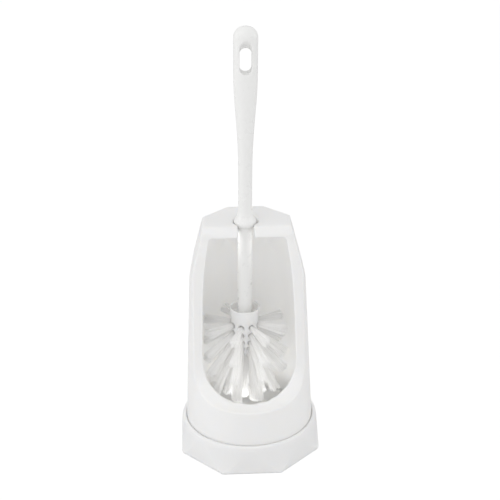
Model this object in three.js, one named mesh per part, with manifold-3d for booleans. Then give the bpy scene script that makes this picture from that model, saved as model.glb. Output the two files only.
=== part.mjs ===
// Toilet brush in an open-fronted, free-standing holder. Millimetres, +Z up.
// The origin is on the floor under the middle of the holder; the open front faces -Y.
import * as THREE from 'three';
import { mergeVertices } from 'three/addons/utils/BufferGeometryUtils.js';
import Module from 'manifold-3d';

const wasm = await Module();
wasm.setup();

// ---------------------------------------------------------------- driving dimensions
const FACETS = 8;                    // the base and the top of the holder are octagons
const GAP = 0.3;                     // clearance between separate mouldings

// base
const BASE_APOTHEM = 62.5;           // half the width across the flats, on the floor
const BASE_TOP_APOTHEM = 61.8;       // the flats lean in a little for moulding draft
const BASE_ARCH_HEIGHT = 22.4;       // where the turned flank leaves the middle of a flat
const BASE_FLARE = 3.2;              // growth of the turned flank from there to the floor
const BASE_CORNER_FLARE = 3.0;       // extra growth close to the floor, out to the corners
const BASE_CORNER_POWER = 5;         // how close to the floor that growth stays
const BASE_RIM_RADIUS = 59.9;        // crest of the rim round the body
const BASE_RIM_HEIGHT = 26.6;
const TRAY_FLOOR = 5;                // thickness of the drip tray under the brush
const TRAY_RING_HEIGHT = 20;         // spigot ring that the body pushes over
const TRAY_RING_WIDTH = 2.4;

// body of the holder
const BODY_FOOT = 13;                // lower end of the body, hidden inside the base rim
const BODY_TOP = 215;
const BODY_RADIUS_AT_FLOOR = 58.5;   // the cone's radius if it went down to the floor
const BODY_TAPER = 0.0472;           // radius lost per millimetre of height
const WALL = 2.5;
const TOP_APOTHEM = 37.9;            // half the width of the octagonal top across its flats
const FACET_LEAN = 0.255;            // the upper facets spread this much per millimetre down

// scooped front: a leaning plane above, a concave arc below, a rounded edge at the top
const FRONT_AT_TOP = 12.5;           // how far in front of the axis the plane meets the top
const FRONT_LEAN = 0.087;            // the plane comes forward this much per millimetre down
const SCOOP_RADIUS = 32.9;
const SCOOP_CENTRE = { y: -56.4, z: 91.4 };
const TOP_EDGE_RADIUS = 8;

// window in the front
const WINDOW_TOP = 205.9;
const WINDOW_TOP_HALF = 32.4;
const WINDOW_SHOULDER = 172;
const WINDOW_SHOULDER_HALF = 38.4;
const WINDOW_HIP = 97;
const WINDOW_HIP_HALF = 41.1;
const WINDOW_DEPTH_BELOW_HIP = 37;
const WINDOW_ROUNDNESS = 2.6;        // exponent of the super-ellipse that closes the bottom
const WINDOW_CORNER = 2.5;

// seat for the brush
const SEAT_X = -0.9;                 // the seat and its slit sit a little to one side
const SEAT_Y = 4.4;
const SEAT_RADIUS = 11.3;            // mouth of the seat, level with the top
const SEAT_LEDGE = { radius: 9.9, height: 211.2 };
const SEAT_THROAT = 208.9;           // where the seat's cone has narrowed to the slit's width
const SLIT_WIDTH = 14.3;
const SEAT_BOSS_RADIUS = 15;
const SEAT_BOSS_FOOT = 206.8;

// brush, heights above the floor
const BRUSH_X = -1.3;                // it hangs nearer one side of the slit
const BRUSH_TILT = THREE.MathUtils.degToRad(0.9);
const TILT_HEIGHT = 213;             // height about which it leans
const SPIGOT_RADIUS = 4;
const SPIGOT_END = 110.6;
const SHAFT_END = 124.9;
const SHAFT_RADIUS = 6.3;
const COLLAR_RADIUS = 9.6;
const HANDLE_TOP = 383.7;
const SLOT_WIDTH = 9.9;
const GRIP_DEPTH = 0.72;             // the grip is this much thinner front to back than it is wide
const GRIP_FROM = 282;               // the shaft is round below here
const GRIP_TO = 345;                 // and fully flattened above here
const SLOT_BOTTOM = 345.1;
const SLOT_THROAT_TOP = 365.5;
const SLOT_MOUTH_RISE = THREE.MathUtils.degToRad(45);
const CUP_FLOOR = 124.6;
const CUP_TOP = 132;

// rows of bristle tufts: where a row leaves the hub, how far it droops, its length and number
const TUFT_ROWS = [
  { name: 'a', radius: 12.1, height: 116, droop: 5, length: 25.8, count: 8, turn: 28 },
  { name: 'b', radius: 11.6, height: 108, droop: 33, length: 31, count: 8, turn: 28 },
  { name: 'c', radius: 10.6, height: 100.6, droop: 48, length: 38, count: 8, turn: 28 },
  { name: 'd', radius: 8.9, height: 93.8, droop: 64.5, length: 47, count: 8, turn: 28 },
  { name: 'e', radius: 6.1, height: 88.1, droop: 78, length: 46.2, count: 6, turn: 35 },
  { name: 'f', radius: 0, height: 86.4, droop: 90, length: 46, count: 1, turn: 0 },
];
const TUFT_ROOT_RADIUS = 2.3;
const TUFT_TIP_RADIUS = 4.6;
const TUFT_HOLE_DEPTH = 3;

// ---------------------------------------------------------------- materials
const shellPlastic = new THREE.MeshStandardMaterial({ color: 0xf1f0ed, roughness: 0.38, metalness: 0 });
const handlePlastic = new THREE.MeshStandardMaterial({ color: 0xf3f3f1, roughness: 0.3, metalness: 0 });
const hubPlastic = new THREE.MeshStandardMaterial({ color: 0xefeeeb, roughness: 0.42, metalness: 0 });
const bristle = new THREE.MeshStandardMaterial({ color: 0xebe9e3, roughness: 0.5, metalness: 0 });

// ---------------------------------------------------------------- helpers
const AXIS_UP = new THREE.Matrix4().makeRotationX(Math.PI / 2);
const SIDE_VIEW = new THREE.Matrix4().makeBasis(
  new THREE.Vector3(0, 1, 0), new THREE.Vector3(0, 0, 1), new THREE.Vector3(1, 0, 0));
const FRONT_VIEW = new THREE.Matrix4().makeBasis(
  new THREE.Vector3(1, 0, 0), new THREE.Vector3(0, 0, 1), new THREE.Vector3(0, -1, 0));

function toSolid(geometry) {
  const clean = geometry.clone();
  clean.deleteAttribute('normal');
  clean.deleteAttribute('uv');
  const merged = mergeVertices(clean, 1e-4);
  return new wasm.Manifold(new wasm.Mesh({
    numProp: 3,
    vertProperties: new Float32Array(merged.attributes.position.array),
    triVerts: new Uint32Array(merged.index.array),
  }));
}

function toGeometry(solid) {
  const mesh = solid.getMesh();
  const geometry = new THREE.BufferGeometry();
  geometry.setAttribute('position', new THREE.BufferAttribute(new Float32Array(mesh.vertProperties), 3));
  geometry.setIndex(new THREE.BufferAttribute(new Uint32Array(mesh.triVerts), 1));
  geometry.computeVertexNormals();
  return geometry;
}

// A turned solid; the profile is [radius, height] pairs from the axis round to the axis.
function turned(profile, segments, phase = 0) {
  const points = profile.map(([radius, height]) => new THREE.Vector2(radius, height));
  const geometry = new THREE.LatheGeometry(points, segments);
  geometry.applyMatrix4(AXIS_UP);
  geometry.rotateZ(phase);
  return toSolid(geometry);
}

// An octagonal frustum with flats facing +-X and +-Y.
function octagon(apothemBelow, apothemAbove, bottom, top) {
  const toCorner = 1 / Math.cos(Math.PI / FACETS);
  return turned([[0, bottom], [apothemBelow * toCorner, bottom], [apothemAbove * toCorner, top], [0, top]],
    FACETS, Math.PI / FACETS);
}

// A flat outline pushed through the model, centred on the plane that it is drawn in.
function pushed(shape, depth, view, curveSegments) {
  const geometry = new THREE.ExtrudeGeometry(shape, { depth, bevelEnabled: false, curveSegments });
  geometry.translate(0, 0, -depth / 2);
  geometry.applyMatrix4(view);
  return toSolid(geometry);
}

// ---------------------------------------------------------------- holder
const bodyRadius = (z) => BODY_RADIUS_AT_FLOOR - BODY_TAPER * z;
const facetApothem = (z) => TOP_APOTHEM + FACET_LEAN * (BODY_TOP - z);

// The cone with its eight leaning facets, moved inwards by inset and cut between two heights.
function bodyEnvelope(inset, bottom, top) {
  const cone = turned([[0, bottom], [bodyRadius(bottom) - inset, bottom],
    [bodyRadius(top) - inset, top], [0, top]], 80, Math.PI / 80);
  return cone.intersect(octagon(facetApothem(bottom) - inset, facetApothem(top) - inset, bottom, top));
}

// What the scoop takes off the front, moved inwards by inset, drawn in side view (y, z).
function scoop(inset) {
  const lean = Math.atan(FRONT_LEAN);
  const planeY = (z) => -FRONT_AT_TOP + inset / Math.cos(lean) - FRONT_LEAN * (BODY_TOP - z);
  const top = BODY_TOP - inset;
  const edgeRadius = TOP_EDGE_RADIUS - inset;
  const edgeZ = top - edgeRadius;
  const edgeY = planeY(edgeZ) + edgeRadius / Math.cos(lean);
  const radius = SCOOP_RADIUS + inset;
  // where the arc meets the leaning plane
  const reach = (planeY(SCOOP_CENTRE.z) - SCOOP_CENTRE.y) * Math.cos(lean);
  const meet = lean - Math.acos(Math.min(1, reach / radius));
  const shape = new THREE.Shape();
  shape.moveTo(-120, BODY_TOP + 20);
  shape.lineTo(-120, SCOOP_CENTRE.z - radius);
  shape.lineTo(SCOOP_CENTRE.y, SCOOP_CENTRE.z - radius);
  shape.absarc(SCOOP_CENTRE.y, SCOOP_CENTRE.z, radius, -Math.PI / 2, meet, false);
  shape.absarc(edgeY, edgeZ, edgeRadius, Math.PI - lean, Math.PI / 2, true);
  shape.lineTo(edgeY, BODY_TOP + 20);
  shape.closePath();
  return pushed(shape, 160, SIDE_VIEW, 14);
}

// The window through the front wall: straight sides, a soft square bottom, small top corners.
function windowCutter() {
  const shape = new THREE.Shape();
  shape.moveTo(-WINDOW_TOP_HALF + WINDOW_CORNER, WINDOW_TOP);
  shape.quadraticCurveTo(-WINDOW_TOP_HALF, WINDOW_TOP, -WINDOW_TOP_HALF - 0.4, WINDOW_TOP - WINDOW_CORNER);
  shape.lineTo(-WINDOW_SHOULDER_HALF, WINDOW_SHOULDER);
  const steps = 32;
  for (let i = 0; i <= steps; i += 1) {
    const angle = Math.PI + (Math.PI * i) / steps;
    const power = 2 / WINDOW_ROUNDNESS;
    const across = Math.sign(Math.cos(angle)) * Math.abs(Math.cos(angle)) ** power;
    const down = Math.abs(Math.sin(angle)) ** power;
    shape.lineTo(WINDOW_HIP_HALF * across, WINDOW_HIP - WINDOW_DEPTH_BELOW_HIP * down);
  }
  shape.lineTo(WINDOW_SHOULDER_HALF, WINDOW_SHOULDER);
  shape.lineTo(WINDOW_TOP_HALF + 0.4, WINDOW_TOP - WINDOW_CORNER);
  shape.quadraticCurveTo(WINDOW_TOP_HALF, WINDOW_TOP, WINDOW_TOP_HALF - WINDOW_CORNER, WINDOW_TOP);
  shape.closePath();
  return pushed(shape, 80, FRONT_VIEW, 3).translate([0, -45, 0]);
}

// Cupped seat in the top, its through hole, and the slit that lets the shaft out to the front.
function seatCutter() {
  const half = SLIT_WIDTH / 2;
  const dish = turned([[0, 200], [half, 200], [half, SEAT_THROAT], [SEAT_LEDGE.radius, SEAT_LEDGE.height],
    [SEAT_RADIUS, BODY_TOP], [SEAT_RADIUS, BODY_TOP + 5], [0, BODY_TOP + 5]], 40)
    .translate([SEAT_X, SEAT_Y, 0]);
  const slit = toSolid(new THREE.BoxGeometry(SLIT_WIDTH, 40, 30))
    .translate([SEAT_X, SEAT_Y - 20, BODY_TOP]);
  return dish.add(slit);
}

function holderShell() {
  const outside = bodyEnvelope(0, BODY_FOOT, BODY_TOP).subtract(scoop(0));
  const ceiling = BODY_TOP - WALL;
  const inside = bodyEnvelope(WALL, BODY_FOOT - 5, ceiling).subtract(scoop(WALL));
  const boss = turned([[0, SEAT_BOSS_FOOT], [SEAT_BOSS_RADIUS, SEAT_BOSS_FOOT],
    [SEAT_BOSS_RADIUS, BODY_TOP - 1], [0, BODY_TOP - 1]], 40).translate([SEAT_X, SEAT_Y, 0]);
  const walls = outside.subtract(inside).subtract(windowCutter());
  return walls.add(boss.intersect(outside)).subtract(seatCutter());
}

// Octagonal foot whose corners are turned off into the round rim, with a drip tray inside.
function basePlinth() {
  const flank = [];
  const steps = 8;
  for (let i = 0; i <= steps; i += 1) {
    const height = BASE_ARCH_HEIGHT * (i / steps) ** 1.4;
    const below = 1 - height / BASE_ARCH_HEIGHT;
    const corner = BASE_CORNER_FLARE * below ** BASE_CORNER_POWER;
    flank.push([BASE_TOP_APOTHEM + BASE_FLARE * below + corner, height]);
  }
  const crest = BASE_RIM_HEIGHT;
  const rim = [[61.4, crest - 2.6], [60.8, crest - 1], [BASE_RIM_RADIUS, crest], [59.1, crest + 0.2],
    [58.4, crest - 0.3]];
  const turnedOff = turned([[0, 0], ...flank, ...rim, [0, crest - 0.3]], 96, Math.PI / 96);
  const block = turnedOff.intersect(octagon(BASE_APOTHEM, BASE_TOP_APOTHEM - 0.2, 0, BASE_RIM_HEIGHT + 2));
  const pocket = bodyRadius(BODY_FOOT) + GAP;
  const ringOutside = bodyRadius(TRAY_RING_HEIGHT) - WALL - GAP;
  const ringInside = ringOutside - TRAY_RING_WIDTH;
  const hollow = turned([[0, TRAY_FLOOR], [ringInside, TRAY_FLOOR], [ringInside, TRAY_RING_HEIGHT],
    [ringOutside, TRAY_RING_HEIGHT], [ringOutside, BODY_FOOT - GAP], [pocket, BODY_FOOT - GAP],
    [pocket, 40], [0, 40]], 80, Math.PI / 80);
  return block.subtract(hollow);
}

// ---------------------------------------------------------------- brush
// Grip half-widths down the handle, from the domed top to the neck.
const GRIP = [[2.6, 383.5], [5.1, 382.9], [7.6, 380.9], [9.1, 378.2], [9.9, 373.6], [10.1, 362], [10.1, 344],
  [9.9, 333.7], [9.4, 323.7], [8.6, 313.6], [7.75, 303.5], [7.0, 292.5], [6.45, 282.4], [6.05, 271.4],
  [5.95, 255]];

// Bowl-shaped collar: its rounded underside sits in the seat, above it flares out of the shaft.
const COLLAR = [[6.0, 228], [6.25, 223.4], [6.9, 220], [8.0, 217.6], [9.1, 216.2], [COLLAR_RADIUS, 215],
  [COLLAR_RADIUS, 214], [9.5, 213], [9.1, 212], [8.4, 211.1], [7.5, 210.4], [SHAFT_RADIUS, 209.8]];

// Hanging slot: level underneath, its top edge rising from a throat to both faces.
function hangingSlot() {
  const half = SLOT_WIDTH / 2;
  const outline = (bottom, top) => {
    const shape = new THREE.Shape();
    shape.absarc(0, top - half, half, 0, Math.PI, false);
    shape.absarc(0, bottom + half, half, Math.PI, 2 * Math.PI, false);
    shape.closePath();
    return shape;
  };
  const straight = pushed(outline(SLOT_BOTTOM, SLOT_THROAT_TOP), 40, FRONT_VIEW, 8);
  const middle = (SLOT_BOTTOM + SLOT_THROAT_TOP) / 2;
  const reach = (SLOT_THROAT_TOP - SLOT_BOTTOM) / 2;
  const mouth = (side) => pushed(outline(-reach, reach), 30, FRONT_VIEW, 8)
    .translate([0, -15, 0])
    .rotate([THREE.MathUtils.radToDeg(-SLOT_MOUTH_RISE), 0, 0])
    .translate([0, 0, middle])
    .rotate([0, 0, side > 0 ? 180 : 0]);
  return straight.add(mouth(-1)).add(mouth(1));
}

function brushHandle() {
  const profile = [[0, SPIGOT_END], [SPIGOT_RADIUS, SPIGOT_END], [SPIGOT_RADIUS, SHAFT_END],
    [SHAFT_RADIUS, SHAFT_END], ...[...COLLAR].reverse(), ...[...GRIP].reverse(), [0, HANDLE_TOP]];
  const round = turned(profile, 32);
  // flatten the grip front to back, easing in from the round shaft
  const shaped = round.warp((vert) => {
    const rise = THREE.MathUtils.smoothstep(vert[2], GRIP_FROM, GRIP_TO);
    vert[1] *= 1 - (1 - GRIP_DEPTH) * rise;
  });
  return shaped.subtract(hangingSlot());
}

const onHub = (row, index) => {
  const azimuth = THREE.MathUtils.degToRad(row.turn + (360 * index) / row.count - 90);
  const droop = THREE.MathUtils.degToRad(row.droop);
  return {
    root: new THREE.Vector3(row.radius * Math.cos(azimuth), row.radius * Math.sin(azimuth), row.height),
    along: new THREE.Vector3(Math.cos(droop) * Math.cos(azimuth), Math.cos(droop) * Math.sin(azimuth),
      -Math.sin(droop)),
  };
};

const UP = new THREE.Vector3(0, 0, 1);

// Core of the head: an open cup round the end of the shaft, a socket, and a blind hole per tuft.
function brushHub() {
  const socket = SPIGOT_RADIUS + GAP;
  let hub = turned([[0, 83.6], [3.2, 83.9], [6.0, 85.6], [7.9, 88.8], [9.3, 94], [10.6, 100.6], [11.6, 108],
    [12.2, 115.6], [12.35, 124], [13.25, CUP_TOP - 0.6], [13.1, CUP_TOP], [12.2, CUP_TOP],
    [11.2, CUP_FLOOR], [socket, CUP_FLOOR], [socket, SPIGOT_END - GAP], [0, SPIGOT_END - GAP]], 32);
  const hole = turned([[0, -TUFT_HOLE_DEPTH], [TUFT_ROOT_RADIUS + GAP, -TUFT_HOLE_DEPTH],
    [TUFT_ROOT_RADIUS + GAP, 6], [0, 6]], 12);
  for (const row of TUFT_ROWS) {
    for (let i = 0; i < row.count; i += 1) {
      const { root, along } = onHub(row, i);
      const pose = new THREE.Matrix4().makeRotationFromQuaternion(
        new THREE.Quaternion().setFromUnitVectors(UP, along)).setPosition(root);
      hub = hub.subtract(hole.transform(pose.elements));
    }
  }
  return hub;
}

// One bundle of filaments as a solid: round at the root, spreading to a softly domed tip.
function tuft(length) {
  return turned([[0, GAP - TUFT_HOLE_DEPTH], [TUFT_ROOT_RADIUS, GAP - TUFT_HOLE_DEPTH],
    [TUFT_ROOT_RADIUS, 2], [TUFT_TIP_RADIUS, length - 1.4], [TUFT_TIP_RADIUS * 0.72, length - 0.2],
    [0, length]], 10);
}

// ---------------------------------------------------------------- scene graph
function piece(name, solid, material) {
  const mesh = new THREE.Mesh(toGeometry(solid), material);
  mesh.name = name;
  return mesh;
}

const holder = new THREE.Group();
holder.add(piece('holder_shell', holderShell(), shellPlastic));
holder.add(piece('base_plinth', basePlinth(), shellPlastic));

const brush = new THREE.Group();
brush.add(piece('brush_handle', brushHandle(), handlePlastic));
brush.add(piece('brush_hub', brushHub(), hubPlastic));
for (const row of TUFT_ROWS) {
  for (let i = 0; i < row.count; i += 1) {
    const { root, along } = onHub(row, i);
    const mesh = piece(`tuft_${row.name}${i + 1}`, tuft(row.length), bristle);
    mesh.position.copy(root);
    mesh.quaternion.setFromUnitVectors(UP, along);
    brush.add(mesh);
  }
}
brush.position.z = -TILT_HEIGHT;

// The brush hangs in its seat, leaning a little to one side.
const hung = new THREE.Group();
hung.add(brush);
hung.position.set(BRUSH_X, SEAT_Y, TILT_HEIGHT);
hung.rotation.y = BRUSH_TILT;

const toiletBrush = new THREE.Group();
toiletBrush.add(holder, hung);

export default toiletBrush;
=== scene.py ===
# %% [markdown]
# # A toilet brush in its open-fronted holder
#
# Five kinds of piece make this object: a tall open-fronted shell, the octagonal base that the
# shell pushes into, the handle with its shaft, the head's core, and the bundles of filaments
# round it. All are white moulded plastic, so nearly everything the eye reads comes from the
# soft edges and from the way broad light slides over them. The CAD solids have sharp edges and
# flat facets. Here each is rebuilt as a smooth surface from the same dimensions, with the small
# radii that a mould gives, and each takes the place of its CAD node.

import math

import bpy
import numpy as np
from mathutils import Matrix, Vector


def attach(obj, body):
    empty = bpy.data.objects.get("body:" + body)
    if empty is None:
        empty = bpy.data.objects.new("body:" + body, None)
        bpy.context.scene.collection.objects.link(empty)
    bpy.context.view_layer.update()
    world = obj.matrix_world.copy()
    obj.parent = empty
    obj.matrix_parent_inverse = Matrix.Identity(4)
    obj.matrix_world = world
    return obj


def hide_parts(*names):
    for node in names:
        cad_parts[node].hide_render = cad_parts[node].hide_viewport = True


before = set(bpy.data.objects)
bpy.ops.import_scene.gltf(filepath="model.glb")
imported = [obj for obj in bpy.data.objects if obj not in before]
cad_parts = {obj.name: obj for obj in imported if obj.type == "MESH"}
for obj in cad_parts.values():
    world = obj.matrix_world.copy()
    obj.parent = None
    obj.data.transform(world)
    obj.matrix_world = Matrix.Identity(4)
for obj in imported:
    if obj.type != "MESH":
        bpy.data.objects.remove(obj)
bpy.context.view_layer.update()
MM = 0.001

# %% [markdown]
# ## Rounded edges by formula
#
# A solid can be written as a formula that is negative inside, zero on the surface and positive
# outside, and roughly equal to the distance. Cutting and joining solids is then only `max` and
# `min` of their formulas. Replacing the plain `max` with one that turns the corner on a circle
# rounds every edge on the way, even where three cuts meet. Blender's Bevel modifier could
# round the CAD meshes, but their long thin triangles shade badly, so the formula way is used.


# %% Cutting and joining with a radius
def cut_round(a, b, radius):
    """What is inside both a and b: max(a, b), turning the outer corner on a circle of that radius."""
    corner = np.hypot(np.maximum(a + radius, 0), np.maximum(b + radius, 0)) - radius
    return np.where(np.maximum(a, b) > -radius, corner, np.maximum(a, b))


def join_round(a, b, radius):
    """What is inside a or b: min(a, b), filling the inner corner with a circle of that radius."""
    return -cut_round(-a, -b, radius)


def smooth_step(value, low, high):
    """0 below low, 1 above high, and 3t^2 - 2t^3 between them."""
    t = np.clip((value - low) / (high - low), 0, 1)
    return t * t * (3 - 2 * t)


# %% [markdown]
# ## From a formula to a mesh
#
# The formula is sampled on a grid of small boxes. Each box that the surface passes through gets
# one vertex, at the middle of the points where its edges cross the surface, and each grid edge
# that crosses it gets one quad between its four boxes. Then the vertices slide towards their
# neighbours' middle and are put back on the surface along the formula's slope, which evens the
# mesh out. The slope is also the exact normal, so it is kept as the vertices' shading normal and
# a radius of one millimetre shades cleanly on a mesh no finer than that.


# %% Grid, quads, sliding and normals
LEAST_SLOPE_SQUARED = 0.04
TINY = 1e-9


def slope_of(formula, points, step=0.02):
    """Gradient of the formula at points, from differences over a small step either way."""
    grad = np.empty_like(points)
    for axis in range(3):
        ahead, behind = points.copy(), points.copy()
        ahead[:, axis] += step
        behind[:, axis] -= step
        grad[:, axis] = (formula(*ahead.T) - formula(*behind.T)) / (2 * step)
    return grad


def put_on_surface(formula, points, limit, rounds=2):
    """Newton's step along the slope: p - f * grad / |grad|^2, never longer than limit."""
    for _ in range(rounds):
        grad = slope_of(formula, points)
        steepness = np.maximum((grad**2).sum(1), LEAST_SLOPE_SQUARED)
        move = formula(*points.T)[:, None] * grad / steepness[:, None]
        length = np.linalg.norm(move, axis=1)[:, None]
        points = points - move * np.minimum(1, limit / np.maximum(length, TINY))
    return points


def skin(formula, low, high, step, slides=5):
    """Vertices, quads and normals of formula = 0 inside the box low..high, in millimetres."""
    low, high = np.array(low, float), np.array(high, float)
    count = np.ceil((high - low) / step).astype(int) + 1
    lines = [low[axis] + step * np.arange(count[axis]) for axis in range(3)]
    field = formula(*np.meshgrid(*lines, indexing="ij", sparse=True))
    field = np.broadcast_to(field, tuple(count))
    inside = field < 0
    boxes = tuple(count - 1)
    corners = [(i, j, k) for i in (0, 1) for j in (0, 1) for k in (0, 1)]

    def part(array, corner):
        return array[tuple(slice(c, c + n) for c, n in zip(corner, boxes))]

    full = sum(part(inside, corner).astype(np.int8) for corner in corners)
    crossed = (full > 0) & (full < 8)
    number = np.full(boxes, -1, np.int64)
    number[crossed] = np.arange(crossed.sum())
    total, hits = np.zeros((crossed.sum(), 3)), np.zeros(crossed.sum())
    for axis in range(3):
        for corner in corners:
            if corner[axis]:
                continue
            other = tuple(c + (a == axis) for a, c in enumerate(corner))
            start, end = part(field, corner)[crossed], part(field, other)[crossed]
            passes = (start < 0) != (end < 0)
            along = np.where(passes, start / np.where(passes, start - end, 1), 0)
            point = np.tile(np.array(corner, float), (len(along), 1))
            point[:, axis] += along
            total += point * passes[:, None]
            hits += passes
    points = low + step * (np.argwhere(crossed) + total / hits[:, None])
    quads = []
    for axis in range(3):
        ahead = [slice(None)] * 3
        behind = [slice(None)] * 3
        ahead[axis], behind[axis] = slice(1, None), slice(None, -1)
        first, second = inside[tuple(behind)], inside[tuple(ahead)]
        edges = np.argwhere(first != second)
        across, up = (axis + 1) % 3, (axis + 2) % 3
        kept = (edges[:, across] > 0) & (edges[:, up] > 0)
        kept &= (edges[:, across] < boxes[across]) & (edges[:, up] < boxes[up])
        edges = edges[kept]
        ring = []
        for shift_across, shift_up in ((1, 1), (0, 1), (0, 0), (1, 0)):
            box = edges.copy()
            box[:, across] -= shift_across
            box[:, up] -= shift_up
            ring.append(number[tuple(box.T)])
        ring = np.stack(ring, 1)
        outward = first[tuple(edges.T)]
        quads.append(np.where(outward[:, None], ring, ring[:, ::-1]))
    quads = np.concatenate(quads)
    points = put_on_surface(formula, points, step)
    starts, ends = quads.ravel(), np.roll(quads, -1, axis=1).ravel()
    for _ in range(slides):
        near = np.stack([np.bincount(ends, points[starts, axis], len(points)) +
                         np.bincount(starts, points[ends, axis], len(points))
                         for axis in range(3)], 1)
        near /= np.maximum(np.bincount(ends, minlength=len(points)) +
                           np.bincount(starts, minlength=len(points)), 1)[:, None]
        points = put_on_surface(formula, points + 0.5 * (near - points), step * 0.5, 1)
    points = put_on_surface(formula, points, step * 0.5, 2)
    normals = slope_of(formula, points)
    return points, quads, normals / np.maximum(np.linalg.norm(normals, axis=1), TINY)[:, None]


def mesh_object(name, points, faces, normals=None):
    """A Blender object from millimetre points; faces is an array of triangles or of quads."""
    mesh = bpy.data.meshes.new(name)
    mesh.vertices.add(len(points))
    mesh.vertices.foreach_set("co", (points * MM).astype(np.float32).ravel())
    sides = faces.shape[1]
    mesh.loops.add(faces.size)
    mesh.loops.foreach_set("vertex_index", faces.astype(np.int32).ravel())
    mesh.polygons.add(len(faces))
    mesh.polygons.foreach_set("loop_start", np.arange(0, faces.size, sides, dtype=np.int32))
    mesh.update(calc_edges=True)
    mesh.validate()
    mesh.shade_smooth()
    if normals is not None:
        mesh.normals_split_custom_set_from_vertices(normals.astype(np.float32))
    made = bpy.data.objects.new(name, mesh)
    bpy.context.scene.collection.objects.link(made)
    print(name, len(points), "points", len(faces), "faces")
    return made


# %% [markdown]
# ## The holder's shell
#
# The body is a slightly tapering cone with eight flat facets leaning in towards an octagonal
# top. A scoop takes off the front: a leaning flat above, running out through a hollow curve
# below, and a generous radius at the top. Inside it is hollow with an even wall, and the front
# has one large window. The top carries a stepped seat for the brush's collar, with a slit to the
# front so that the brush can be drawn out.

# %% Dimensions of the shell
BODY_FOOT = 13.0
BODY_TOP = 215.0
BODY_RADIUS_AT_FLOOR = 58.5
BODY_TAPER = 0.0472
WALL = 2.5
TOP_APOTHEM = 37.9
FACET_LEAN = 0.255
FRONT_AT_TOP = 12.5
FRONT_LEAN = 0.087
SCOOP_Y, SCOOP_Z = -56.4, 91.4
TOP_EDGE_RADIUS = 8.0
OUTER_EDGE, INNER_EDGE = 1.0, 1.5
OUTER_CREASE, INNER_CREASE = 0.5, 0.8
FOOT_EDGE, WINDOW_EDGE, SEAT_EDGE = 0.6, 0.9, 0.8
WINDOW_TOP, WINDOW_TOP_HALF = 205.9, 32.4
WINDOW_SHOULDER, WINDOW_SHOULDER_HALF = 172.0, 38.4
WINDOW_HIP, WINDOW_HIP_HALF = 97.0, 41.1
WINDOW_DEPTH_BELOW_HIP = 37.0
WINDOW_ROUNDNESS = 2.6
WINDOW_CORNER = 3.0
WINDOW_BACK = -5.0
SEAT_X, SEAT_Y = -0.9, 4.4
SEAT_RADIUS = 11.3
SEAT_LEDGE_RADIUS, SEAT_LEDGE_HEIGHT = 9.9, 211.2
SEAT_THROAT = 208.9
SEAT_LEDGE_EDGE = 0.8
SLIT_HALF, SLIT_FOOT, SLIT_EDGE = 7.15, 200.0, 0.6
SEAT_BOSS_RADIUS, SEAT_BOSS_FOOT = 15.0, 206.8
BOSS_EDGE, BOSS_FILLET = 0.8, 1.5


def body_radius(z):
    """Radius of the shell's cone at a height."""
    return BODY_RADIUS_AT_FLOOR - BODY_TAPER * z


# %% The outer form: cone, facets, scoop and top
def octagon_distance(x, y, apothem, radius):
    """Distance to an octagon of that apothem, folded into one eighth, its corners rounded."""
    rho, angle = np.hypot(x, y), np.arctan2(y, x)
    fold = np.abs((angle + math.pi / 8) % (math.pi / 4) - math.pi / 8)
    return cut_round(rho * np.cos(fold) - apothem, rho * np.cos(math.pi / 4 - fold) - apothem, radius)


def front_depth(y, z):
    """How far a point is behind the front surface: behind the leaning flat above the line
    through the hollow's centre, and outside the hollow's circle below that line."""
    lean = math.atan(FRONT_LEAN)
    flat = (y + FRONT_AT_TOP + FRONT_LEAN * (BODY_TOP - z)) * math.cos(lean)
    flat_at_centre = (SCOOP_Y + FRONT_AT_TOP + FRONT_LEAN * (BODY_TOP - SCOOP_Z)) * math.cos(lean)
    across = (y - SCOOP_Y) * math.sin(lean)
    above = (z - SCOOP_Z) * math.cos(lean) + across > 0
    return np.where(above, flat, np.hypot(y - SCOOP_Y, z - SCOOP_Z) + flat_at_centre)


def body_form(x, y, z, inset, edge, crease, crown):
    """The body moved inwards by inset: cone and facets, cut by the front and by the top."""
    cone = (np.hypot(x, y) - body_radius(z)) + inset
    facets = octagon_distance(x, y, TOP_APOTHEM + FACET_LEAN * (BODY_TOP - z), crease)
    facets = facets / math.hypot(1, FACET_LEAN) + inset
    side = cut_round(cone, facets, crease)
    top = z - BODY_TOP + inset
    front = cut_round(inset - front_depth(y, z), top, crown)
    return cut_round(cut_round(side, top, edge), front, edge)


# %% The window and the seat that are cut out of it
def window_distance(x, z):
    """Distance to the window's outline: leaning sides, a flat top, and for the foot the curve
    |x/a|^n + |d/b|^n = 1 with d the depth below the hip, made a distance by its own slope."""
    across = np.abs(x)
    lower = (WINDOW_HIP_HALF - WINDOW_SHOULDER_HALF) / (WINDOW_SHOULDER - WINDOW_HIP)
    upper = (WINDOW_SHOULDER_HALF - WINDOW_TOP_HALF) / (WINDOW_TOP - WINDOW_SHOULDER)
    side = (across - WINDOW_SHOULDER_HALF + lower * (z - WINDOW_SHOULDER)) / math.hypot(1, lower)
    chest = (across - WINDOW_SHOULDER_HALF + upper * (z - WINDOW_SHOULDER)) / math.hypot(1, upper)
    straight = cut_round(cut_round(side, chest, WINDOW_CORNER), z - WINDOW_TOP, WINDOW_CORNER)
    n = WINDOW_ROUNDNESS
    a, b = WINDOW_HIP_HALF, WINDOW_DEPTH_BELOW_HIP
    u, v = across / a, np.maximum(WINDOW_HIP - z, 0) / b
    ring = np.maximum((u**n + v**n), 1e-6) ** (1 / n)
    slope = np.hypot(u ** (n - 1) / a, v ** (n - 1) / b) / ring ** (n - 1)
    foot = (ring - 1) / np.maximum(slope, 1 / (2 * a))
    return np.where(z < WINDOW_HIP, foot, straight)


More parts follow.
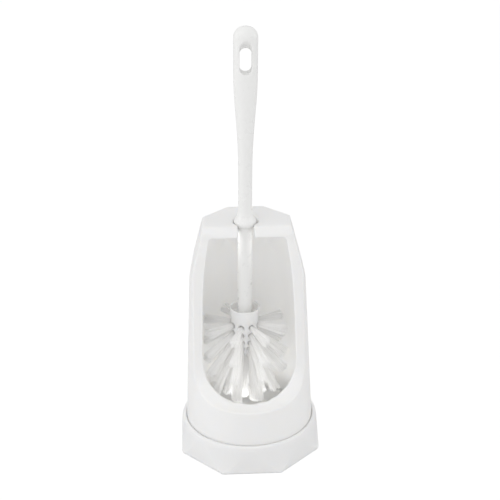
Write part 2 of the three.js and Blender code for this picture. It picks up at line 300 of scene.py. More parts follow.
def seat_distance(x, y, z):
    """The slit with its round end, and the cup that the collar sits in: a steep cone down to a
    ledge, and a flatter cone from there to the throat."""
    across, back = x - SEAT_X, y - SEAT_Y
    rho = np.hypot(across, back)
    slit = np.hypot(across, np.maximum(back, 0)) - SLIT_HALF
    steep = (SEAT_RADIUS - SEAT_LEDGE_RADIUS) / (BODY_TOP - SEAT_LEDGE_HEIGHT)
    flat = (SEAT_LEDGE_RADIUS - SLIT_HALF) / (SEAT_LEDGE_HEIGHT - SEAT_THROAT)
    upper = (rho - SEAT_RADIUS + (BODY_TOP - z) * steep) / math.hypot(1, steep)
    lower = (rho - SLIT_HALF - (z - SEAT_THROAT) * flat) / math.hypot(1, flat)
    cup = cut_round(upper, lower, SEAT_LEDGE_EDGE)
    return np.maximum(join_round(slit, cup, SLIT_EDGE), SLIT_FOOT - z)


def shell_form(x, y, z):
    """The hollow body with the seat's boss inside its top, less the window and the seat."""
    outside = body_form(x, y, z, 0, OUTER_EDGE, OUTER_CREASE, TOP_EDGE_RADIUS)
    hollow = body_form(x, y, z, WALL, INNER_EDGE, INNER_CREASE, TOP_EDGE_RADIUS - WALL)
    boss = np.hypot(x - SEAT_X, y - SEAT_Y) - SEAT_BOSS_RADIUS
    boss = cut_round(boss, SEAT_BOSS_FOOT - z, BOSS_EDGE)
    solid = np.maximum(outside, join_round(-hollow, boss, BOSS_FILLET))
    solid = cut_round(solid, BODY_FOOT - z, FOOT_EDGE)
    window = np.maximum(window_distance(x, z), y - WINDOW_BACK)
    solid = cut_round(solid, -window, WINDOW_EDGE)
    return cut_round(solid, -seat_distance(x, y, z), SEAT_EDGE)


# %% Build the shell
COARSE = 1.0
SHELL_STEP, BASE_STEP, HANDLE_STEP, CORE_STEP = 1.22, 1.15, 0.75, 0.55
MARGIN = 3
reach = body_radius(0) + MARGIN
shell = mesh_object("holder_shell_moulding", *skin(
    shell_form, (-reach, -reach, BODY_FOOT - MARGIN), (reach, reach, BODY_TOP + MARGIN),
    SHELL_STEP * COARSE))

# %% [markdown]
# ## The base
#
# The base is an octagonal block whose corners have been turned off on a lathe: low down the
# flats are wide and meet in sharp corners, higher up the turned flank cuts them back in arches,
# and at the top only the round rim is left. It holds a shallow tray for drips and a ring that
# the shell pushes over.

# %% Dimensions and form of the base
BASE_APOTHEM, BASE_TOP_APOTHEM = 62.5, 61.8
BASE_ARCH_HEIGHT = 22.4
BASE_FLARE = 3.2
BASE_CORNER_FLARE = 3.0
BASE_CORNER_POWER = 5
BASE_RIM_HEIGHT = 26.8
BASE_RIM_LEAN = 0.25
BASE_DRAFT, BASE_DRAFT_HEIGHT = BASE_APOTHEM - BASE_TOP_APOTHEM + 0.2, 28
FLANK_STEEPNESS = 0.99
BASE_CORNER, BASE_ARCH_EDGE, BASE_FOOT_EDGE = 0.4, 0.2, 0.5
RIM_RADIUS = 1.6
PUSH_FIT = 0.3
TRAY_FLOOR, TRAY_FILLET, TRAY_EDGE = 5.0, 2.5, 0.6
TRAY_RING_HEIGHT, TRAY_RING_WALL = 20.0, 2.4
TRAY_RING_OUTSIDE = body_radius(TRAY_RING_HEIGHT) - WALL - PUSH_FIT
TRAY_RING_INSIDE = TRAY_RING_OUTSIDE - TRAY_RING_WALL
POCKET_CLEARANCE, POCKET_EDGE = 0.12, 0.35


def base_form(x, y, z):
    """Octagonal block, turned flank and rounded rim, less the tray and the shell's groove."""
    rho = np.hypot(x, y)
    below = np.clip(1 - z / BASE_ARCH_HEIGHT, 0, 1)
    flank = BASE_TOP_APOTHEM + BASE_FLARE * below + BASE_CORNER_FLARE * below**BASE_CORNER_POWER
    flank = flank - BASE_RIM_LEAN * np.maximum(z - BASE_ARCH_HEIGHT, 0)
    flats = octagon_distance(x, y, BASE_APOTHEM - BASE_DRAFT * z / BASE_DRAFT_HEIGHT, BASE_CORNER)
    block = cut_round((rho - flank) * FLANK_STEEPNESS, flats, BASE_ARCH_EDGE)
    block = cut_round(block, z - BASE_RIM_HEIGHT, RIM_RADIUS)
    block = cut_round(block, -z, BASE_FOOT_EDGE)
    tray = cut_round(rho - TRAY_RING_INSIDE, TRAY_FLOOR - z, TRAY_FILLET)
    pocket = rho - body_radius(z) - POCKET_CLEARANCE
    above_ring = np.maximum(pocket, TRAY_RING_HEIGHT - z)
    groove = np.maximum(np.maximum(pocket, TRAY_RING_OUTSIDE - rho), BODY_FOOT - PUSH_FIT - z)
    block = cut_round(block, -tray, TRAY_EDGE)
    return cut_round(block, -np.minimum(above_ring, groove), POCKET_EDGE)


reach = BASE_APOTHEM / math.cos(math.pi / 8) + MARGIN
base = mesh_object("base_moulding", *skin(
    base_form, (-reach, -reach, -MARGIN), (reach, reach, BASE_RIM_HEIGHT + MARGIN),
    BASE_STEP * COARSE))

# %% [markdown]
# ## The brush's own frame
#
# The brush hangs in the seat by its collar and leans a little to one side. Its pieces are worked
# out upright about their own axis, and then the finished points are leaned and put in place.
# The object itself stays unturned, with its place in its mesh, so that patterns stay on it.

# %% Place the brush
BRUSH_X = -1.3
BRUSH_TILT = math.radians(0.9)
TILT_HEIGHT = 213.0


def hang(points):
    """Turns upright points about the brush's tilt point and moves them to the seat."""
    x, y, z = points[:, 0], points[:, 1], points[:, 2] - TILT_HEIGHT
    c, s = math.cos(BRUSH_TILT), math.sin(BRUSH_TILT)
    return np.stack([c * x + s * z + BRUSH_X, y + SEAT_Y, c * z - s * x + TILT_HEIGHT], 1)


def turn_only(normals):
    """The same turn for directions."""
    c, s = math.cos(BRUSH_TILT), math.sin(BRUSH_TILT)
    return np.stack([c * normals[:, 0] + s * normals[:, 2], normals[:, 1],
                     c * normals[:, 2] - s * normals[:, 0]], 1)


def hung_object(name, points, quads, normals):
    """A mesh object of upright points, hung in the seat."""
    return mesh_object(name, hang(points), quads, turn_only(normals))


# %% [markdown]
# ## Handle, shaft and collar
#
# One moulding from the domed top of the grip to the spigot inside the head. It is a turned
# profile whose grip is flattened front to back, so it is worked out in a space where the grip
# is round, by dividing the depth by the flattening. The hanging slot runs level underneath, and
# its upper edge opens towards both faces at 45 degrees. The collar swells softly out of the
# shaft, and its rounded underside sits in the stepped seat.

# %% Profile and form of the handle
HANDLE_TOP = 383.7
SHAFT_RADIUS, SHAFT_END = 6.3, 124.9
SPIGOT_RADIUS, SPIGOT_END = 4.0, 110.6
GRIP_DEPTH, GRIP_FROM, GRIP_TO = 0.72, 282.0, 345.0
GRIP_DOME = 9.2
SLOT_HALF, SLOT_BOTTOM, SLOT_THROAT_TOP = 4.95, 345.1, 365.5
SHAFT_EDGE, SLOT_EDGE, SPIGOT_OVERLAP = 0.4, 0.9, 2
PROFILE_STEP, FINE_BLUR, BROAD_BLUR = 0.1, 0.9, 12
BROAD_FROM, BROAD_TO = 226, 240
PROFILE = np.array([  # height, radius
    [SPIGOT_END - 9, SHAFT_RADIUS], [209.0, SHAFT_RADIUS], [209.8, SHAFT_RADIUS], [210.4, 7.5],
    [211.1, 8.4], [212.0, 9.1], [213.0, 9.5], [214.0, 9.6], [215.0, 9.6], [216.2, 9.1],
    [217.6, 8.0], [220.0, 6.9], [223.4, 6.25], [228.0, 6.0], [240.0, 5.92], [255.0, 5.95],
    [271.4, 6.05], [282.4, 6.45], [292.5, 7.0], [303.5, 7.75], [313.6, 8.6], [323.7, 9.4],
    [333.7, 9.9], [344.0, 10.1], [362.0, 10.1], [HANDLE_TOP + 9, 10.1]])


def smooth_profile(table, blur):
    """Heights and radii of a profile drawn through a table's points, its corners blurred by a
    running mean of that width in millimetres."""
    heights = np.arange(table[0, 0], table[-1, 0], PROFILE_STEP)
    radii = np.interp(heights, table[:, 0], table[:, 1])
    width = max(1, int(round(blur / PROFILE_STEP)) | 1)
    padded = np.pad(radii, width, mode="edge")
    kernel = np.ones(width) / width
    return heights, np.convolve(np.convolve(padded, kernel, "same"), kernel, "same")[width:-width]


FINE_HEIGHTS, FINE = smooth_profile(PROFILE, FINE_BLUR)
BROAD = smooth_profile(PROFILE, BROAD_BLUR)[1]
above_collar = smooth_step(FINE_HEIGHTS, BROAD_FROM, BROAD_TO)
HANDLE_RADII = FINE * (1 - above_collar) + BROAD * above_collar


def slot_distance(x, y, z):
    """The hanging slot: an upright rounded outline pushed straight through, and the same
    outline raised by |y|, a point's distance from mid depth, wherever z + |y| is above the
    outline's middle."""
    middle, half = (SLOT_BOTTOM + SLOT_THROAT_TOP) / 2, (SLOT_THROAT_TOP - SLOT_BOTTOM) / 2
    reach = half - SLOT_HALF
    straight = np.hypot(x, np.maximum(np.abs(z - middle) - reach, 0)) - SLOT_HALF
    raised = z - middle - np.abs(y)
    mouth = np.hypot(x, np.maximum(np.abs(raised) - reach, 0)) - SLOT_HALF
    behind = -((z - middle) + np.abs(y)) * math.sqrt(0.5)
    return np.minimum(straight, np.maximum(mouth, behind))


def handle_form(x, y, z):
    """Distance to the profile by its own slope, cut at the dome, the shaft's end and the slot."""
    flat = 1 - (1 - GRIP_DEPTH) * smooth_step(z, GRIP_FROM, GRIP_TO)
    rho = np.hypot(x, y / flat)
    radius = np.interp(z, FINE_HEIGHTS, HANDLE_RADII)
    slope = np.interp(z, FINE_HEIGHTS, np.gradient(HANDLE_RADII, FINE_HEIGHTS))
    side = (rho - radius) / np.hypot(1, slope)
    shaft = cut_round(side, SHAFT_END - z, SHAFT_EDGE)
    shaft = cut_round(shaft, z - HANDLE_TOP, GRIP_DOME)
    spigot = np.maximum(rho - SPIGOT_RADIUS, SPIGOT_END - z)
    spigot = np.maximum(spigot, z - SHAFT_END - SPIGOT_OVERLAP)
    return cut_round(np.minimum(shaft, spigot), -slot_distance(x, y, z), SLOT_EDGE)


HANDLE_REACH, SLIM_MARGIN = 12, 2
handle = hung_object("handle_moulding", *skin(
    handle_form, (-HANDLE_REACH, -HANDLE_REACH, SPIGOT_END - SLIM_MARGIN),
    (HANDLE_REACH, HANDLE_REACH, HANDLE_TOP + SLIM_MARGIN), HANDLE_STEP * COARSE))

# %% [markdown]
# ## The core of the head
#
# A tapering plug with an open cup on top, into which the shaft is pushed, and a blind hole for
# each bundle of filaments. The holes sit in rows, each row drooping more than the one above,
# down to one hole straight underneath.

# %% Rows of tufts, and where each leaves the core
ROWS = [  # name, radius, height, droop in degrees, length, count, turn in degrees
    ("a", 12.1, 116.0, 5, 25.8, 8, 28),
    ("b", 11.6, 108.0, 33, 31.0, 8, 28),
    ("c", 10.6, 100.6, 48, 38.0, 8, 28),
    ("d", 8.9, 93.8, 64.5, 47.0, 8, 28),
    ("e", 6.1, 88.1, 78, 46.2, 6, 35),
    ("f", 0.0, 86.4, 90, 46.0, 1, 0),
]
TUFTS = {}
for row, radius, height, droop, length, count, turn in ROWS:
    for index in range(count):
        azimuth = math.radians(turn + 360 * index / count - 90)
        fall = math.radians(droop)
        out = np.array([math.cos(azimuth), math.sin(azimuth), 0])
        root = out * radius + (0, 0, height)
        along = out * math.cos(fall) - np.array([0, 0, math.sin(fall)])
        TUFTS[f"tuft_{row}{index + 1}"] = (root, along, length)

# %% Form of the core
CUP_TOP, CUP_FLOOR = 132.0, 124.6
CUP_FLOOR_RADIUS, CUP_FLARE, CUP_FILLET = 11.2, 0.135, 1.2
CORE_BOTTOM, CORE_BOTTOM_EDGE, CORE_RIM_EDGE = 83.6, 1.5, 0.45
SPIGOT_FIT = 0.3
HOLE_RADIUS, HOLE_DEPTH, HOLE_MOUTH, HOLE_EDGE = 2.5, 1.6, 6, 0.3
CORE_BLUR = 2.2
CORE_PROFILE = np.array([  # height, radius
    [80.0, 0.5], [83.6, 3.0], [85.0, 5.4], [86.4, 6.6], [88.8, 7.9], [94.0, 9.3], [100.6, 10.6],
    [108.0, 11.6], [115.6, 12.2], [124.0, 12.35], [128.0, 12.8], [131.4, 13.25], [136.0, 13.5]])
CORE_HEIGHTS, CORE_RADII = smooth_profile(CORE_PROFILE, CORE_BLUR)


def core_form(x, y, z):
    """Turned plug less the cup, the socket for the spigot, and the tufts' holes."""
    rho = np.hypot(x, y)
    radius = np.interp(z, CORE_HEIGHTS, CORE_RADII)
    slope = np.interp(z, CORE_HEIGHTS, np.gradient(CORE_RADII, CORE_HEIGHTS))
    plug = (rho - radius) / np.hypot(1, slope)
    plug = cut_round(plug, CORE_BOTTOM - z, CORE_BOTTOM_EDGE)
    plug = cut_round(plug, z - CUP_TOP, CORE_RIM_EDGE)
    cup = rho - CUP_FLOOR_RADIUS - (z - CUP_FLOOR) * CUP_FLARE
    cup = cut_round(cup, CUP_FLOOR - z, CUP_FILLET)
    socket = np.maximum(rho - SPIGOT_RADIUS - SPIGOT_FIT, SPIGOT_END - SPIGOT_FIT - z)
    core = cut_round(plug, -np.minimum(cup, socket), CORE_RIM_EDGE)
    for root, along, _ in TUFTS.values():
        dx, dy, dz = x - root[0], y - root[1], z - root[2]
        t = dx * along[0] + dy * along[1] + dz * along[2]
        off = np.sqrt(np.maximum(dx**2 + dy**2 + dz**2 - t**2, 0))
        hole = np.maximum(np.maximum(off - HOLE_RADIUS, -HOLE_DEPTH - t), t - HOLE_MOUTH)
        core = cut_round(core, -hole, HOLE_EDGE)
    return core


CORE_REACH, CORE_LOW = 15, 81
core = hung_object("core_moulding", *skin(
    core_form, (-CORE_REACH, -CORE_REACH, CORE_LOW),
    (CORE_REACH, CORE_REACH, CUP_TOP + SLIM_MARGIN), CORE_STEP * COARSE))

# %% [markdown]
# ## The tufts
#
# Each tuft is a pinch of straight nylon filaments folded in half and stapled into its hole. At
# the hole they are packed tight, and from there they spread like the hairs of a paint brush,
# each a little bent and none exactly as long as the next. Blender's hair system draws such
# strands well, but hair isn't a mesh, so each filament is a thin five-sided tube instead: a
# centreline worked out for all filaments of a tuft at once, a ring at each step along it, and a
# point that closes each end. A number from 0 to 1 along each filament and a random number for
# each are kept as attributes, for the material. Light soaks through so fine and milky a strand,
# while a solid tube casts its full shadow, so the tufts are told to cast none.

# %% A bundle of filaments
FILAMENTS = 84
FILAMENT_RADIUS = 0.24
RINGS, SIDES = 7, 5
ROOT_SPREAD, TIP_SPREAD = 2.0, 5.0
SPREAD_POWER = 1.25
TIP_SCATTER_LOW, TIP_SCATTER_HIGH = 0.8, 1.12
CLUMPS, CLUMP_PULL, CLUMP_REACH = 9, 0.42, 0.85
BEND, CLUMP_BEND = 0.45, 0.35
LENGTH_JITTER, CLUMP_LENGTH_JITTER = 0.5, 0.6
RIM_SHORTENING = 0.03
ROOT_INSET = -1.2
FOOT_POINT, TIP_POINT = 0.1, 0.22
FIRST_SEED = 100
GOLDEN_ANGLE = math.pi * (3 - math.sqrt(5))


def bundle(root, along, length, rng):
    """Centre of filament k at s: root + along * L_k * s, plus an offset in the disc that grows
    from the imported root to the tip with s^1.25, plus a bend that grows with s^2. The tips are
    drawn towards the nearest of a few random middles, so that they stand in clumps."""
    helper = np.array([0, 0, 1.0]) if abs(along[2]) < 0.9 else np.array([1.0, 0, 0])
    side = np.cross(helper, along)
    side /= np.linalg.norm(side)
    other = np.cross(along, side)
    k = np.arange(FILAMENTS)
    share = np.sqrt((k + 0.5) / FILAMENTS)
    angle = k * GOLDEN_ANGLE + rng.uniform(0, 2 * math.pi)
    flat = np.stack([np.cos(angle), np.sin(angle)], 1)
    scatter = rng.uniform(TIP_SCATTER_LOW, TIP_SCATTER_HIGH, (FILAMENTS, 1))
    tip = flat * (share * TIP_SPREAD)[:, None] * scatter
    middles = rng.uniform(-CLUMP_REACH, CLUMP_REACH, (CLUMPS, 2)) * TIP_SPREAD
    clump = np.linalg.norm(tip[:, None] - middles[None], axis=2).argmin(1)
    tip = tip + CLUMP_PULL * (middles[clump] - tip)
    bend = rng.normal(0, BEND, (FILAMENTS, 2)) + rng.normal(0, CLUMP_BEND, (CLUMPS, 2))[clump]
    lengths = length * (1 - RIM_SHORTENING * share**2) + rng.normal(0, LENGTH_JITTER, FILAMENTS)
    lengths = lengths + rng.normal(0, CLUMP_LENGTH_JITTER, CLUMPS)[clump]
    s = np.linspace(0, 1, RINGS)
    grow = s**SPREAD_POWER
    offset = (flat * (share * ROOT_SPREAD)[:, None])[:, None] * (1 - grow)[None, :, None]
    offset = offset + tip[:, None] * grow[None, :, None] + bend[:, None] * (s**2)[None, :, None]
    travel = ROOT_INSET + (lengths - ROOT_INSET)[:, None] * s
    centre = root + travel[..., None] * along
    centre = centre + offset[..., :1] * side + offset[..., 1:] * other
    turn = np.linspace(0, 2 * math.pi, SIDES, endpoint=False)
    ring = np.cos(turn)[:, None] * side + np.sin(turn)[:, None] * other
    points = centre[:, :, None] + FILAMENT_RADIUS * ring
    ends = np.stack([centre[:, 0] - FOOT_POINT * along, centre[:, -1] + TIP_POINT * along], 1)
    points = np.concatenate([points.reshape(FILAMENTS, -1, 3), ends], 1)
    where = np.concatenate([np.repeat(s, SIDES), [0, 1]])
    return points, np.tile(where, (FILAMENTS, 1))


def filament_faces():
    """Triangles of one filament: two per side and step, and a fan at each end."""
    j, i = np.meshgrid(np.arange(RINGS - 1), np.arange(SIDES), indexing="ij")
    a, b = j * SIDES + i, j * SIDES + (i + 1) % SIDES
    c, d = a + SIDES, b + SIDES
    walls = np.concatenate([np.stack([a, b, d], -1).reshape(-1, 3),
                            np.stack([a, d, c], -1).reshape(-1, 3)])
    i = np.arange(SIDES)
    low, high = RINGS * SIDES, RINGS * SIDES + 1
    last = (RINGS - 1) * SIDES
    foot = np.stack([np.full(SIDES, low), (i + 1) % SIDES, i], 1)
    tip = np.stack([np.full(SIDES, high), last + i, last + (i + 1) % SIDES], 1)
    return np.concatenate([walls, foot, tip])


ONE_FILAMENT = filament_faces()
POINTS_EACH = RINGS * SIDES + 2
tufts = {}
for seed, (name, (root, along, length)) in enumerate(TUFTS.items()):
    rng = np.random.default_rng(FIRST_SEED + seed)
    points, where = bundle(root, along, length, rng)
    faces = ONE_FILAMENT[None] + (np.arange(FILAMENTS) * POINTS_EACH)[:, None, None]
    strands_name = name.replace("tuft_", "strands_")
    strands = mesh_object(strands_name, hang(points.reshape(-1, 3)), faces.reshape(-1, 3))
    shade = np.repeat(rng.uniform(0, 1, FILAMENTS), POINTS_EACH)
    for label, values in (("along", where.ravel()), ("shade", shade)):
        attribute = strands.data.attributes.new(label, "FLOAT", "POINT")
        attribute.data.foreach_set("value", values.astype(np.float32))
    strands.visible_shadow = False
    tufts[name] = strands

# %% [markdown]
# ## The finish of moulded plastic
#
# White moulded polypropylene isn't a flat colour. The melt leaves faint streaks where it flowed,
# the mould's skin leaves a very fine orange-peel, and the gloss changes a little from place to
# place. One node group makes all three from the object's own coordinates, and every plastic
# here uses it with its own amounts.


# %% Small helpers for node trees
def link(tree, source, target):
    """Joins two sockets."""
    tree.links.new(source, target)


def node(tree, kind, **values):
    """A new node; values are its properties, or its input sockets by name where it has no such
    property."""
    made = tree.nodes.new(kind)
    for key, value in values.items():
        if hasattr(made, key):
            setattr(made, key, value)
        else:
            made.inputs[key.replace("_", " ")].default_value = value
    return made


def math_node(tree, operation, a, b=None, c=None):
    """A Math node; each of a, b, c is a number or a socket. Gives its output socket."""
    made = tree.nodes.new("ShaderNodeMath")
    made.operation = operation
    for index, value in enumerate((a, b, c)):
        if value is None:
            continue
        if isinstance(value, (int, float)):
            made.inputs[index].default_value = value
        else:
            link(tree, value, made.inputs[index])
    return made.outputs[0]


def noise(tree, vector, scale, detail=2.0, roughness=0.5):
    """A noise texture's value, with its pattern that many times a metre."""
    made = node(tree, "ShaderNodeTexNoise", Scale=scale, Detail=detail, Roughness=roughness)
    link(tree, vector, made.inputs["Vector"])
    return made.outputs["Fac"]


def stretched(tree, vector, scale):
    """The vector with each axis scaled, to draw a pattern out along one of them."""
    made = node(tree, "ShaderNodeMapping")
    made.inputs["Scale"].default_value = scale
    link(tree, vector, made.inputs["Vector"])
    return made.outputs["Vector"]


# %% The moulded skin as a node group
STREAKS, CLOUDS, WAVES, PEEL, GRAIN = 55, 18, 140, 620, 2600  # patterns a metre
FLOW_STRETCH = (1, 1, 0.22)
STREAK_SHARE, CLOUD_SHARE, GRAIN_SHARE = 0.6, 0.4, 0.18


def moulded_skin():
    """Group: Colour, Vary, Roughness, Roughness Vary and Peel in; Colour, Roughness and Height
    out. The colour is scaled by 1 + Vary * (streaks and clouds - 0.5)."""
    group = bpy.data.node_groups.new("moulded_skin", "ShaderNodeTree")
    face = group.interface
    face.new_socket("Colour", in_out="INPUT", socket_type="NodeSocketColor")
    for label in ("Vary", "Roughness", "Roughness Vary", "Peel"):
        face.new_socket(label, in_out="INPUT", socket_type="NodeSocketFloat")
    face.new_socket("Colour", in_out="OUTPUT", socket_type="NodeSocketColor")
    face.new_socket("Roughness", in_out="OUTPUT", socket_type="NodeSocketFloat")
    face.new_socket("Height", in_out="OUTPUT", socket_type="NodeSocketFloat")
    given = group.nodes.new("NodeGroupInput")
    result = group.nodes.new("NodeGroupOutput")
    where = group.nodes.new("ShaderNodeTexCoord").outputs["Object"]
    streaks = noise(group, stretched(group, where, FLOW_STRETCH), STREAKS, 3, 0.55)
    clouds = noise(group, where, CLOUDS, 2)
    peel = noise(group, where, PEEL, 2, 0.45)
    grain = noise(group, where, GRAIN, 1)
    mixed = math_node(group, "ADD", math_node(group, "MULTIPLY", streaks, STREAK_SHARE),
                      math_node(group, "MULTIPLY", clouds, CLOUD_SHARE))
    centred = math_node(group, "SUBTRACT", mixed, 0.5)
    factor = math_node(group, "MULTIPLY_ADD", centred, given.outputs["Vary"], 1.0)
    tint = node(group, "ShaderNodeVectorMath", operation="SCALE")
    link(group, given.outputs["Colour"], tint.inputs[0])
    link(group, factor, tint.inputs["Scale"])
    link(group, tint.outputs[0], result.inputs["Colour"])
    wave = math_node(group, "SUBTRACT", noise(group, where, WAVES, 3), 0.5)
    gloss = math_node(group, "MULTIPLY_ADD", wave, given.outputs["Roughness Vary"],
                      given.outputs["Roughness"])
    link(group, gloss, result.inputs["Roughness"])
    height = math_node(group, "ADD", math_node(group, "MULTIPLY", peel, given.outputs["Peel"]),
                       math_node(group, "MULTIPLY", grain, GRAIN_SHARE))
    link(group, height, result.inputs["Height"])
    return group


SKIN = moulded_skin()


# %% A plastic for each moulding
PLASTIC_IOR, NYLON_IOR = 1.49, 1.53
BUMP_DISTANCE = 0.0002
PLASTIC_SCATTER, PLASTIC_SCATTER_SCALE = (1.0, 0.97, 0.92), 0.002
NYLON_SCATTER, NYLON_SCATTER_SCALE = (1.0, 1.0, 0.95), 0.0008
WARM_WHITE, CLEAN_WHITE = (0.945, 0.94, 0.925), (0.94, 0.94, 0.93)


def plastic(name, colour, vary, roughness, roughness_vary, peel, bump, glow=0.0):
    """Principled plastic fed by the moulded skin; glow is how much light travels inside it."""
    material = bpy.data.materials.new(name)
    material.use_nodes = True
    tree = material.node_tree
    shader = tree.nodes["Principled BSDF"]
    group = tree.nodes.new("ShaderNodeGroup")
    group.node_tree = SKIN
    for label, value in (("Colour", (*colour, 1)), ("Vary", vary), ("Roughness", roughness),
                         ("Roughness Vary", roughness_vary), ("Peel", peel)):
        group.inputs[label].default_value = value
    link(tree, group.outputs["Colour"], shader.inputs["Base Color"])
    link(tree, group.outputs["Roughness"], shader.inputs["Roughness"])
    bumped = node(tree, "ShaderNodeBump", Strength=bump, Distance=BUMP_DISTANCE)
    link(tree, group.outputs["Height"], bumped.inputs["Height"])
    link(tree, bumped.outputs["Normal"], shader.inputs["Normal"])
    shader.inputs["IOR"].default_value = PLASTIC_IOR
    shader.inputs["Subsurface Weight"].default_value = glow
    shader.inputs["Subsurface Radius"].default_value = PLASTIC_SCATTER
    shader.inputs["Subsurface Scale"].default_value = PLASTIC_SCATTER_SCALE
    return material


SHELL_PLASTIC = plastic("shell_plastic", WARM_WHITE, vary=0.04, roughness=0.36,
                        roughness_vary=0.08, peel=1.0, bump=0.10, glow=1.0)
HANDLE_PLASTIC = plastic("handle_plastic", CLEAN_WHITE, vary=0.03, roughness=0.28,
                         roughness_vary=0.06, peel=0.7, bump=0.07)
CORE_PLASTIC = plastic("core_plastic", WARM_WHITE, vary=0.04, roughness=0.42,
                       roughness_vary=0.08, peel=1.0, bump=0.12, glow=1.0)

# %% [markdown]
# ## The filaments' finish
#
# Nylon filament is milky and a little glossy. The tips catch more light than the imported roots,
# and their colour is painted lighter for it, a painted highlight that runs along each filament. No
# two filaments are quite the same tone either, so the colour also steps from one to the next. Both
# are read from the two attributes.


# %% Filament material
# painted highlight: the tips' colour is lighter than the roots' to stand in for the light they catch
SHADED_ROOT_COLOUR, LIT_TIP_COLOUR = (0.95, 0.94, 0.92, 1), (0.99, 0.985, 0.97, 1)
DARKEST_STRAND, STRAND_RANGE = 0.93, 0.07
LEAST_STRAND_ROUGHNESS, STRAND_ROUGHNESS_RANGE = 0.36, 0.12


def filament_material():
    """Principled plastic whose colour runs from root to a lighter tip, a painted highlight, and
    differs a little by filament.
    """
    material = bpy.data.materials.new("filament_nylon")
    material.use_nodes = True
    tree = material.node_tree
    shader = tree.nodes["Principled BSDF"]
    along = node(tree, "ShaderNodeAttribute", attribute_name="along")
    shade = node(tree, "ShaderNodeAttribute", attribute_name="shade")
    # the ramp paints each filament lighter towards its tip: a painted highlight
    ramp = node(tree, "ShaderNodeValToRGB")
    ramp.color_ramp.elements[0].color = SHADED_ROOT_COLOUR
    ramp.color_ramp.elements[1].color = LIT_TIP_COLOUR
    link(tree, along.outputs["Fac"], ramp.inputs["Fac"])
    factor = math_node(tree, "MULTIPLY_ADD", shade.outputs["Fac"], STRAND_RANGE, DARKEST_STRAND)
    tint = node(tree, "ShaderNodeVectorMath", operation="SCALE")
    link(tree, ramp.outputs["Color"], tint.inputs[0])
    link(tree, factor, tint.inputs["Scale"])
    link(tree, tint.outputs[0], shader.inputs["Base Color"])
    rough = math_node(tree, "MULTIPLY_ADD", shade.outputs["Fac"], STRAND_ROUGHNESS_RANGE,
                      LEAST_STRAND_ROUGHNESS)
    link(tree, rough, shader.inputs["Roughness"])
    shader.inputs["IOR"].default_value = NYLON_IOR
    shader.inputs["Subsurface Weight"].default_value = 1.0
    shader.inputs["Subsurface Radius"].default_value = NYLON_SCATTER
    shader.inputs["Subsurface Scale"].default_value = NYLON_SCATTER_SCALE
    return material


FILAMENT = filament_material()

# %% [markdown]
# ## Bodies, nodes and materials
#
# The shell and the base belong to the holder. Everything else is drawn out with the brush.

# %% Say what rides on what
PIECES = [
    (shell, "holder_shell", "holder", SHELL_PLASTIC, "shell_plastic"),
    (base, "base_plinth", "holder", SHELL_PLASTIC, "shell_plastic"),
    (handle, "brush_handle", "brush", HANDLE_PLASTIC, "handle_plastic"),
    (core, "brush_hub", "brush", CORE_PLASTIC, "hub_plastic"),
]
PIECES += [(made, name, "brush", FILAMENT, "bristle") for name, made in tufts.items()]
for made, cad_node, body, material, slot in PIECES:
    made.data.materials.append(material)
    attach(made, body)
    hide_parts(cad_node)
print("pieces:", len(PIECES))

# %% [markdown]
# ## Floor, light and camera
#
# A white object on white needs gentle, uneven light: if it came evenly from all sides every
# surface would be equally bright and the form would vanish. A key light high in front on the
# left, a weaker one straight in front, one above and one at each side model the form, and a pale
# sky fills the rest. Thin white walls let a lot of light soak through and pass it round inside,
# more than a renderer follows in a few bounces, so small soft lamps hidden inside the holder
# stand in for it. The floor is plain. The sky and the floor are brighter for the camera than for
# the object, so that the background is near white and the contact shadow faint.


# %% Floor
FLOOR_HALF, FLOOR_DROP = 6.0, 0.05  # metres, millimetres
FLOOR_ALBEDO, FLOOR_VARY = 0.8, 0.02
FLOOR_GLOW, FLOOR_GLOW_SHARE = 1.12, 0.8


def make_floor():
    """A wide flat sheet just under the object."""
    half = FLOOR_HALF
    corners = np.array([[-half, -half, 0], [half, -half, 0], [half, half, 0], [-half, half, 0]])
    corners = corners / MM - np.array([0, 0, FLOOR_DROP])
    sheet = mesh_object("floor", corners, np.array([[0, 1, 2, 3]]))
    material = bpy.data.materials.new("floor_paper")
    material.use_nodes = True
    tree = material.node_tree
    shader = tree.nodes["Principled BSDF"]
    shader.inputs["Roughness"].default_value = 0.9
    where = tree.nodes.new("ShaderNodeTexCoord").outputs["Object"]
    grain = math_node(tree, "MULTIPLY_ADD", noise(tree, where, 90, 3), FLOOR_VARY, FLOOR_ALBEDO)
    link(tree, grain, shader.inputs["Base Color"])
    bright = node(tree, "ShaderNodeEmission", Strength=FLOOR_GLOW)
    seen = tree.nodes.new("ShaderNodeLightPath").outputs["Is Camera Ray"]
    mix = tree.nodes.new("ShaderNodeMixShader")
    link(tree, math_node(tree, "MULTIPLY", seen, FLOOR_GLOW_SHARE), mix.inputs["Fac"])
    link(tree, shader.outputs[0], mix.inputs[1])
    link(tree, bright.outputs[0], mix.inputs[2])
    link(tree, mix.outputs[0], tree.nodes["Material Output"].inputs["Surface"])
    sheet.data.materials.append(material)
    return sheet


floor = make_floor()


# %% Lights
def area_light(name, place, target, size, power):
    """A square soft light at place, facing target; sizes in metres, power in watts."""
    data = bpy.data.lights.new(name, "AREA")
    data.shape = "SQUARE"
    data.size = size
    data.energy = power
    lamp = bpy.data.objects.new(name, data)
    bpy.context.scene.collection.objects.link(lamp)
    lamp.location = place
    lamp.rotation_euler = (Vector(target) - Vector(place)).to_track_quat("-Z", "Y").to_euler()
    return lamp


def inner_lamp(name, place, target, size, power):
    """A small soft light inside the holder, out of sight of the camera and of reflections."""
    lamp = area_light(name, place, target, size, power)
    lamp.visible_camera = False
    lamp.visible_glossy = False


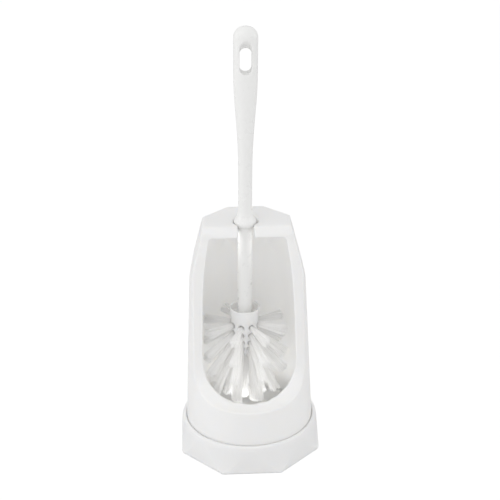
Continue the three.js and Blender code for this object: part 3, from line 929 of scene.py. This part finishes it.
STUDIO = [  # name, place, target, size, power
    ("key", (-0.9, -1.3, 1.5), (0, 0, 0.15), 1.4, 4.5),
    ("front", (0, -1.8, 0.95), (0, 0, 0.15), 1.2, 2.5),
    ("top", (0, 0.2, 2.0), (0, 0, 0.1), 1.6, 3),
    ("left", (-1.9, -0.35, 0.6), (0, 0, 0.12), 1.0, 5),
    ("right", (1.9, -0.35, 0.6), (0, 0, 0.12), 1.0, 4),
]
INSIDE = [  # the same, for the lamps in the bottom of the holder and under its top
    ("well", (0, 0.004, 0.03), (0, 0, 0.2), 0.045, 0.019),
    ("eaves", (-0.024, 0, 0.207), (-0.006, 0.005, 0.1), 0.012, 0.004),
    ("eaves", (0.024, 0, 0.207), (0.006, 0.005, 0.1), 0.012, 0.004),
]
for lamp_values in STUDIO:
    area_light(*lamp_values)
for lamp_values in INSIDE:
    inner_lamp(*lamp_values)
print("lights:", len(STUDIO) + len(INSIDE))

# %% Sky
SKY_STRENGTH, SKY_SEEN_EXTRA = 0.66, 0.5
world = bpy.data.worlds.new("sky")
world.use_nodes = True
sky = world.node_tree
sky.nodes["Background"].inputs["Color"].default_value = (1, 1, 1, 1)
seen_sky = sky.nodes.new("ShaderNodeLightPath").outputs["Is Camera Ray"]
link(sky, math_node(sky, "MULTIPLY_ADD", seen_sky, SKY_SEEN_EXTRA, SKY_STRENGTH),
     sky.nodes["Background"].inputs["Strength"])
bpy.context.scene.world = world
bpy.context.scene.view_settings.view_transform = "Standard"

# %% Camera
LENS, SENSOR_WIDTH = 82.47168, 36  # millimetres
CLIP_NEAR, CLIP_FAR = 0.05, 50  # metres
CAMERA_BACK, CAMERA_UP = 0.900, 0.60157
YAW, PITCH, ROLL, PAN = 0.03, 0.4297, -0.0121, 0.0028  # radians


def make_camera():
    """A camera at the given distance and height, looking down by the pitch, with the whole rig
    turned about the object's axis by the yaw."""
    data = bpy.data.cameras.new("camera")
    data.sensor_width = SENSOR_WIDTH
    data.lens = LENS
    data.clip_start, data.clip_end = CLIP_NEAR, CLIP_FAR
    made = bpy.data.objects.new("camera", data)
    bpy.context.scene.collection.objects.link(made)
    rig = Matrix.Rotation(-YAW, 4, "Z")
    look = Matrix.Rotation(-PAN, 4, "Z") @ Matrix.Rotation(math.pi / 2 - PITCH, 4, "X")
    roll = Matrix.Rotation(ROLL, 4, "Z")
    place = Matrix.Translation((0, -CAMERA_BACK, CAMERA_UP))
    made.matrix_world = rig @ place @ look @ roll
    return made


bpy.context.scene.camera = make_camera()
